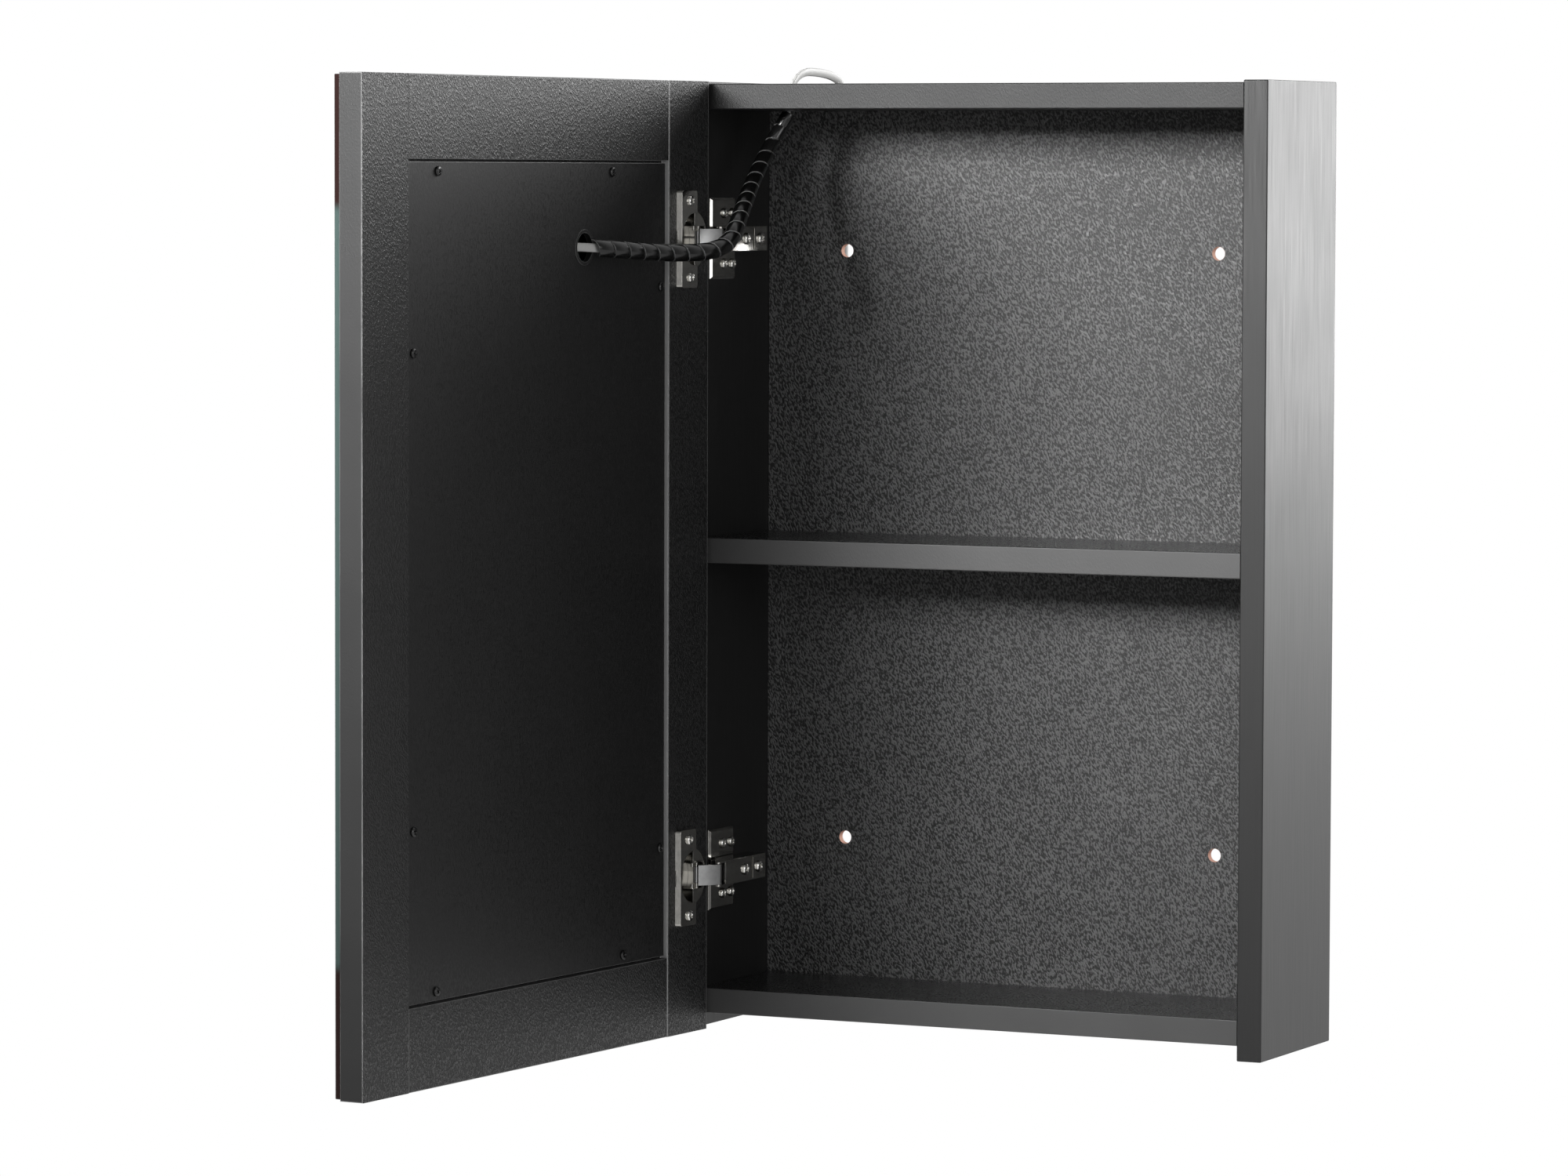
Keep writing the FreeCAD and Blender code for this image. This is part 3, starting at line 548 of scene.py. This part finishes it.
def black_film(name, way, turn, grain, rough, tones, plain, wear_and_highlight_ways=None, bare=None, highlight_face=None, line=None, seam_highlights=(),
               rest=0.1):
    """Black film, grained with slanted streaks where it faces way and plain elsewhere.

    grain is the height of the relief, tones its dark and light, whose light specks are partly the grain's own paler
    tone and partly painted sheen, plain the roughness and tone of the other faces. wear_and_highlight_ways gives the
    ways of the board's faces whose edges are paler in patches, partly wear and partly a painted highlight, bare the raw
    holes, highlight_face the way and tone of a face painted paler as a highlight, line the width and tone of a painted
    highlight along square edges, seam_highlights the reach and tone of painted highlight lines up the door, and rest
    the share of the relief that the other faces have.
    """
    material, surface, pen = finish(name, grey(tones[1]), rough)
    fine = noise(pen, places(pen, turn, (1, 1, 2.0)), 1.05 * MM, 2.0).rise(0.4, 0.66)
    cloud = noise(pen, places(pen), 60 * MM)
    faced = facing(pen, way)
    # the grain's light specks are partly its own paler tone and partly painted sheen
    tone = fine * 0.85 + cloud * 0.15
    low, high = grey(plain[1] * 0.8), grey(plain[1] * 1.2)
    colour = faced.blend(cloud.blend(low, high), tone.blend(grey(tones[0]), grey(tones[1])))
    shine = faced * ((0.5 - fine) * 0.24 + (rough - plain[0])) + (cloud - 0.5) * 0.08 + plain[0]
    if way != UP:
        shine = facing(pen, UP) * 0.4 + shine
    # painted highlight: a paler line along square edges
    if line:
        colour = edge_highlight_mask(pen, line[0]).blend(colour, grey(line[1]))
    # edges paler in patches: partly wear, partly a painted highlight
    if wear_and_highlight_ways:
        wear_and_highlight = arris(pen, wear_and_highlight_ways) * cloud.rise(0.2, 0.6)
        colour = wear_and_highlight.blend(colour, grey(0.36))
    # painted highlight lines up the door
    for reach, pale in seam_highlights:
        near = 1.0 - abs(door_reach(pen) - reach).rise(1.2 * MM, 1.4 * MM)
        colour = (near * faced).blend(colour, grey(pale))
    # a face painted paler as a highlight
    if highlight_face:
        colour = facing(pen, highlight_face[0]).blend(colour, grey(highlight_face[1]))
    if bare:
        x, y, z = split(pen, places(pen))
        away = ((abs(x) - bare[0]) ** 2.0 + (abs(z) - bare[1]) ** 2.0) ** 0.5
        raw = 1.0 - away.rise(bare[2], bare[2] + 0.15 * MM)
        fibre = noise(pen, places(pen, (0, 0, 0), (1, 3, 1)), 0.8 * MM)
        colour = raw.blend(colour, fibre.blend((0.50, 0.27, 0.20, 1), (0.72, 0.46, 0.36, 1)))
        shine = raw * 0.4 + shine
    pen.put(surface.inputs["Base Color"], colour)
    pen.put(surface.inputs["Roughness"], shine)
    pen.put(surface.inputs["Normal"], bump(pen, fine * (faced * (1 - rest) + rest), 1.0, grain))
    return material


def brushed_film(name, rough, level):
    """Black film with faint upright streaks, on the sides."""
    material, surface, pen = finish(name, grey(level), rough)
    streak = noise(pen, places(pen, (0, 0, 0), (1, 1, 60)), 0.9 * MM, 2.0)
    fine = noise(pen, places(pen), 0.7 * MM, 2.0)
    cloud = noise(pen, places(pen), 80 * MM)
    pen.put(surface.inputs["Base Color"], streak.blend(grey(level * 0.4), grey(level * 1.8)))
    pen.put(surface.inputs["Roughness"], (streak - 0.5) * 0.24 + (cloud - 0.5) * 0.08 + facing(pen, UP) * 0.4 + rough)
    pen.put(surface.inputs["Normal"], bump(pen, streak * 0.5 + fine * 0.5, 1.0, 0.04 * MM))
    return material


def plated(name, dark, light, rough, lumps=4 * MM):
    """Plated metal with faint smears."""
    material, surface, pen = finish(name, light, rough, Metallic=1.0)
    smear = noise(pen, places(pen), lumps)
    fine = noise(pen, places(pen), 0.4 * MM)
    pen.put(surface.inputs["Base Color"], smear.blend(dark, light))
    pen.put(surface.inputs["Roughness"], smear * 0.12 + fine * 0.05 + (rough - 0.085))
    pen.put(surface.inputs["Normal"], bump(pen, smear * 0.8 + fine * 0.2, 0.5, 0.06 * MM, 0.35 * MM))
    return material


def plastic(name, base, rough, size, rim=None):
    """Moulded plastic; rim is the tone of a painted highlight along its edges."""
    material, surface, pen = finish(name, base, rough)
    fine = noise(pen, places(pen), size)
    colour = fine.blend(tuple(c * 0.85 for c in base[:3]) + (1,), base)
    # painted highlight along the edges
    if rim:
        colour = edge_highlight_mask(pen, 0.4 * MM).blend(colour, grey(rim))
    pen.put(surface.inputs["Base Color"], colour)
    pen.put(surface.inputs["Roughness"], fine * 0.2 + (rough - 0.1))
    pen.put(surface.inputs["Normal"], bump(pen, fine, 0.5, 0.01 * MM))
    return material


def wrap_plastic():
    """Shiny black band with a painted highlight along the edges of its turns."""
    material, surface, pen = finish("wrap_band", grey(0.008), 0.2)
    rim = pen.node("ShaderNodeAttribute", {"attribute_name": "rim"}, out=2)
    smear = noise(pen, places(pen), 2.0 * MM)
    pen.put(surface.inputs["Base Color"], rim.blend(smear.blend(grey(0.006), grey(0.01)), grey(0.4)))
    pen.put(surface.inputs["Roughness"], smear * 0.2 + 0.1)
    pen.put(surface.inputs["Normal"], bump(pen, smear, 0.5, 0.01 * MM))
    return material


def beech_wood():
    material, surface, pen = finish("beech_wood", (0.6, 0.42, 0.26, 1), 0.55)
    grain = noise(pen, places(pen, (0, 0, 0), (8, 1, 1)), 1.5 * MM)
    pen.put(surface.inputs["Base Color"], grain.blend((0.45, 0.29, 0.16, 1), (0.70, 0.52, 0.33, 1)))
    pen.put(surface.inputs["Roughness"], grain * 0.3 + 0.4)
    pen.put(surface.inputs["Normal"], bump(pen, grain, 0.5, 0.05 * MM))
    return material


def light_tape():
    """White tape with a pale yellow chip every 16 mm."""
    material, surface, pen = finish("light_tape", (0.9, 0.9, 0.86, 1), 0.4)
    x, y, z = split(pen, places(pen))
    beat = pen.maths("FRACT", (y + z) * (1 / 0.016))
    chip = 1.0 - abs(beat - 0.5).rise(0.14, 0.17)
    pen.put(surface.inputs["Base Color"], chip.blend((0.9, 0.9, 0.86, 1), (0.85, 0.72, 0.25, 1)))
    pen.put(surface.inputs["Roughness"], chip * 0.2 + 0.3)
    return material


def silvered_glass():
    """Mirror in front with a frosted band before the light strips; green at its edge."""
    material, surface, pen = finish("silvered_glass", (0.9, 0.92, 0.91, 1), 0.03)
    front = facing(pen, tuple(-c for c in INNER))
    x, y, z = split(pen, places(pen))
    inset = (0.2 - abs(door_reach(pen) - 0.2)).least(0.3 - abs(z + 0.004))
    band = 1.0 - abs(inset - 0.075).rise(8.5 * MM, 9 * MM)
    frost = front * band
    speck = noise(pen, places(pen), 0.5 * MM)
    cloud = noise(pen, places(pen), 90 * MM)
    ends = abs(z + 0.004).rise(0.218, 0.226)
    edge = ends.blend((0.10, 0.15, 0.14, 1), (0.035, 0.014, 0.012, 1))
    pane = frost.blend((0.90, 0.92, 0.91, 1), (0.78, 0.80, 0.80, 1))
    pen.put(surface.inputs["Base Color"], front.blend(edge, pane))
    pen.put(surface.inputs["Metallic"], front - frost)
    pen.put(surface.inputs["Roughness"], frost * 0.5 + cloud * 0.02 + 0.02 + (1.0 - front) * 0.12)
    pen.put(surface.inputs["Normal"], bump(pen, speck * frost, 0.4, 0.02 * MM))
    return material


def dress():
    """Every piece its finish."""
    nickel = plated("nickel_plate", (0.38, 0.37, 0.35, 1), (0.52, 0.51, 0.48, 1), 0.12)
    link = plated("nickel_links", (0.26, 0.26, 0.26, 1), (0.42, 0.42, 0.42, 1), 0.34)
    bright = plated("nickel_screws", (0.72, 0.71, 0.68, 1), (0.88, 0.87, 0.84, 1), 0.14)
    zinc = plated("zinc_plate", (0.50, 0.51, 0.53, 1), (0.64, 0.65, 0.66, 1), 0.32)
    cast = plated("zinc_casting", (0.40, 0.40, 0.41, 1), (0.56, 0.56, 0.57, 1), 0.48, 1.5 * MM)
    black_zinc = plated("black_zinc", (0.03, 0.03, 0.03, 1), (0.08, 0.08, 0.08, 1), 0.3)
    pvc = plastic("white_pvc", (0.86, 0.86, 0.84, 1), 0.42, 1.0 * MM)
    band = wrap_plastic()
    slots = {
        "nickel": nickel, "zinc_steel": zinc, "zinc_cast": cast, "black_zinc": black_zinc, "beech": beech_wood(),
        "black_plastic": plastic("black_plastic", (0.02, 0.02, 0.02, 1), 0.42, 0.6 * MM, 0.5),
        "driver_case": plastic("driver_case", (0.85, 0.85, 0.83, 1), 0.5, 0.8 * MM),
        "white_pvc": pvc, "black_wrap": band, "mirror": silvered_glass(), "light_strip": light_tape(),
    }
    slant = (0, -27, 0)
    sides = (INNER, ALONG, UP)
    # painted highlight along the boards' square edges
    edge = black_film("film_boards", UP, slant, 0.02 * MM, 0.17, (0.018, 0.05), (0.46, 0.1), line=(0.4 * MM, 0.1), rest=1.0)
    top = black_film("film_top_board", UP, slant, 0.03 * MM, 0.86, (0.012, 0.022), (0.5, 0.014), line=(0.4 * MM, 0.1), rest=1.0)
    side = brushed_film("film_sides", 0.48, 0.010)
    # the door's edges are paler in patches, partly wear and partly a painted highlight
    door = ("film_door", INNER, (27, 0, 0), 0.2 * MM, 0.38, (0.002, 0.045), (0.44, 0.04), sides)
    stile = black_film(*door)
    # painted highlights on the hinge stile: its recess wall and two lines up the door
    hinge = black_film("film_hinge_stile", *door[1:], highlight_face=(ALONG, 0.7), seam_highlights=((50 * MM, 0.5), (0.0, 0.16)))
    back = (0.128, 0.189, 4.3 * MM)
    own = {
        # the back's light specks are partly its grain's own tone and partly painted sheen
        "back_panel": black_film("film_back", FRONT, slant, 0.24 * MM, 0.36, (0.003, 0.23), (0.5, 0.03), bare=back),
        # painted highlight on the plate's upward faces
        "back_plate": black_film("film_plate", INNER, (0, 0, 0), 0.02 * MM, 0.5, (0.003, 0.007), (0.5, 0.014), sides,
                                 highlight_face=(UP, 0.6)),
        "side_left": side, "side_right": side, "top_board": top, "shelf": edge, "bottom_board": edge,
        "outer_link_upper": link, "outer_link_lower": link, "inner_link_upper": link, "inner_link_lower": link,
        "stile_hinge": hinge, "stile_free": stile, "rail_top": stile, "rail_bottom": stile,
    }
    for name, node in nodes.items():
        node.data.materials.clear()
        node.data.materials.append(own.get(name) or slots[slot_of[name]])
    return pvc, band, bright, black_zinc


set_camera()
set_world()
set_floor()
add_lamp("front_left", (-0.87, -2.65, 0.88), (0.06, 0, 0.3), (1.0, 0.6), 5.7, 40)
add_lamp("front_right", (2.3, -1.5, 0.45), (-0.1, -0.2, 0), (0.9, 1.3), 13)
add_lamp("back_right", (0.85, 1.3, 0.6), (0.15, 0, 0.2), (1.2, 1.3), 34)
pvc, band, bright, black_zinc = dress()
add_cords(pvc, band)
add_fixings(bright, black_zinc)
